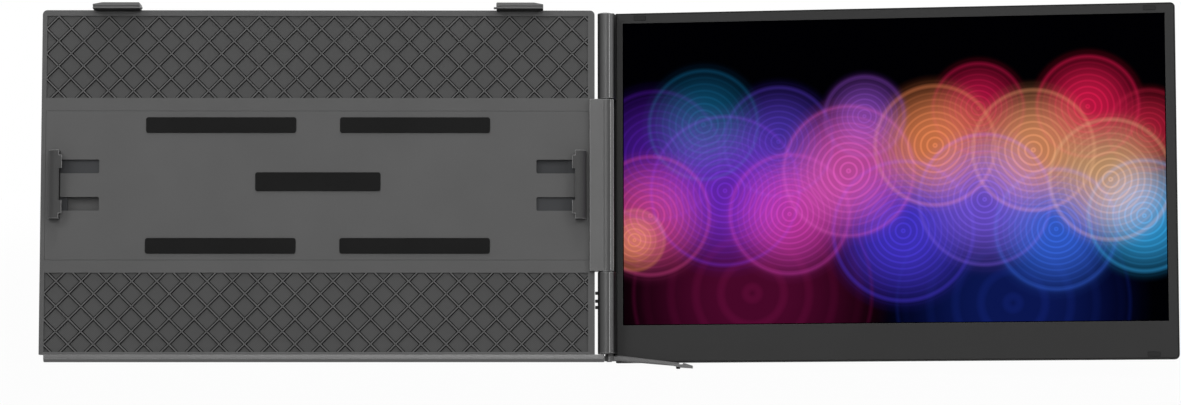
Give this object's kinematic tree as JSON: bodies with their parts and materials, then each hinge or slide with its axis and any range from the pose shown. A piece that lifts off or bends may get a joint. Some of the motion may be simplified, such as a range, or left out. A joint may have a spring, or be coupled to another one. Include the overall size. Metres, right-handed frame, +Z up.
{
  "type": "portable monitor",
  "caption": "Flat monitor hinged to a clamp-on plate that hangs behind a laptop lid, with sliding side jaws, top hooks and a small swing-out support leg.",
  "frame": {"origin": "middle of the clamp-on plate, on the front face of its rubber pads, where the back of a laptop lid rests", "axes": "+X towards the hinge and the monitor, -Y towards the viewer, +Z straight up; the plate leans back 11.4 degrees as a laptop lid in use does"},
  "size_m": [0.7208, 0.1072, 0.2342],
  "materials": {
    "plate_plastic": "fine moulded texture, satin",
    "screen_plastic": "fine moulded texture",
    "jaw_plastic": "satin",
    "hinge_metal": "grey anodised, satin",
    "pad_rubber": "matte",
    "steel": "plain",
    "dark_steel": "grey satin paint",
    "screw_black": "black oxide",
    "acetal": "natural, smooth",
    "bronze": "plain",
    "screen_glass": "lit screen, smooth front film",
    "black_gloss": "smooth",
    "module_white": "plain",
    "board_green": "board with chips",
    "foam": "open foam",
    "ribbon": "smooth film"
  },
  "bodies": {
    "bracket": {"rear_cover": "plate_plastic", "front_cover": "plate_plastic", "clamp_cover": "plate_plastic", "lid_pads": "pad_rubber", "rear_screws": "screw_black", "bottom_bar": "hinge_metal", "hinge_knuckle": "hinge_metal", "hinge_leaf": "steel", "leaf_rivets": "steel", "knuckle_screws": "screw_black", "friction_sleeves": "bronze", "arm_guides": "acetal", "pinion_pin": "steel", "drag_washer": "steel", "hook_guides": "acetal"},
    "left_clamp": {"left_clamp_arm": "steel", "left_jaw": "jaw_plastic", "left_jaw_liner": "pad_rubber", "left_jaw_screws": "screw_black"},
    "right_clamp": {"right_clamp_arm": "steel", "right_jaw": "jaw_plastic", "right_jaw_liner": "pad_rubber", "right_jaw_screws": "screw_black"},
    "pinion": {"pinion": "acetal"},
    "left_hook": {"left_hook": "jaw_plastic", "left_hook_pad": "pad_rubber"},
    "right_hook": {"right_hook": "jaw_plastic", "right_hook_pad": "pad_rubber"},
    "monitor": {"back_cover": "screen_plastic", "bezel": "screen_plastic", "bumpers": "pad_rubber", "screen": "screen_glass", "backlight": "module_white", "foam_strips": "foam", "main_board": "board_green", "usb_sockets": "steel", "hdmi_socket": "steel", "screen_ribbon": "ribbon", "upper_barrel": "hinge_metal", "upper_barrel_cap": "hinge_metal", "lower_barrel": "hinge_metal", "lower_barrel_cap": "hinge_metal", "upper_shaft": "steel", "lower_shaft": "steel", "hinge_washers": "black_gloss", "spine_screws": "screw_black", "button_board": "board_green", "button_ribbon": "ribbon", "leg_pin": "steel"},
    "power_button": {"power_button": "black_gloss"},
    "plus_button": {"plus_button": "black_gloss"},
    "minus_button": {"minus_button": "black_gloss"},
    "support_leg": {"support_leg": "dark_steel", "leg_foot": "pad_rubber"}
  },
  "joints": [
    {"name": "monitor_hinge", "type": "hinge", "parent": "bracket", "child": "monitor", "pos_m": [0.1841, 0.00157, -0.00032], "axis": [0, 0.1977, 0.9803], "range_deg": [-171.1, 8.9]},
    {"name": "left_clamp_slide", "type": "slide", "parent": "bracket", "child": "left_clamp", "axis": [1, 0, 0], "range_m": [0, 0.025]},
    {"name": "right_clamp_slide", "type": "slide", "parent": "bracket", "child": "right_clamp", "axis": [-1, 0, 0], "range_m": [0, 0.025]},
    {"name": "pinion_spin", "type": "hinge", "parent": "bracket", "child": "pinion", "pos_m": [0, 0.00388, -0.00303], "axis": [0, 0.9803, -0.1977], "range_deg": [0, 239]},
    {"name": "left_hook_slide", "type": "slide", "parent": "bracket", "child": "left_hook", "axis": [0, 0.1977, 0.9803], "range_m": [0, 0.02]},
    {"name": "right_hook_slide", "type": "slide", "parent": "bracket", "child": "right_hook", "axis": [0, 0.1977, 0.9803], "range_m": [0, 0.02]},
    {"name": "leg_hinge", "type": "hinge", "parent": "monitor", "child": "support_leg", "pos_m": [0.18633, -0.01312, -0.11237], "axis": [0, -0.1977, -0.9803], "range_deg": [0, 90]},
    {"name": "power_button_press", "type": "slide", "parent": "monitor", "child": "power_button", "axis": [0.988, -0.1517, 0.0306], "range_m": [0, 0.0003], "stiffness_N_per_m": 400, "springref_m": -0.0005},
    {"name": "plus_button_press", "type": "slide", "parent": "monitor", "child": "plus_button", "axis": [0.988, -0.1517, 0.0306], "range_m": [0, 0.0003], "stiffness_N_per_m": 400, "springref_m": -0.0005},
    {"name": "minus_button_press", "type": "slide", "parent": "monitor", "child": "minus_button", "axis": [0.988, -0.1517, 0.0306], "range_m": [0, 0.0003], "stiffness_N_per_m": 400, "springref_m": -0.0005}
  ],
  "couplings": [
    {"joint": "right_clamp_slide", "follows": "left_clamp_slide", "ratio": 1},
    {"joint": "pinion_spin", "follows": "left_clamp_slide", "rad_per_m": 166.67}
  ]
}
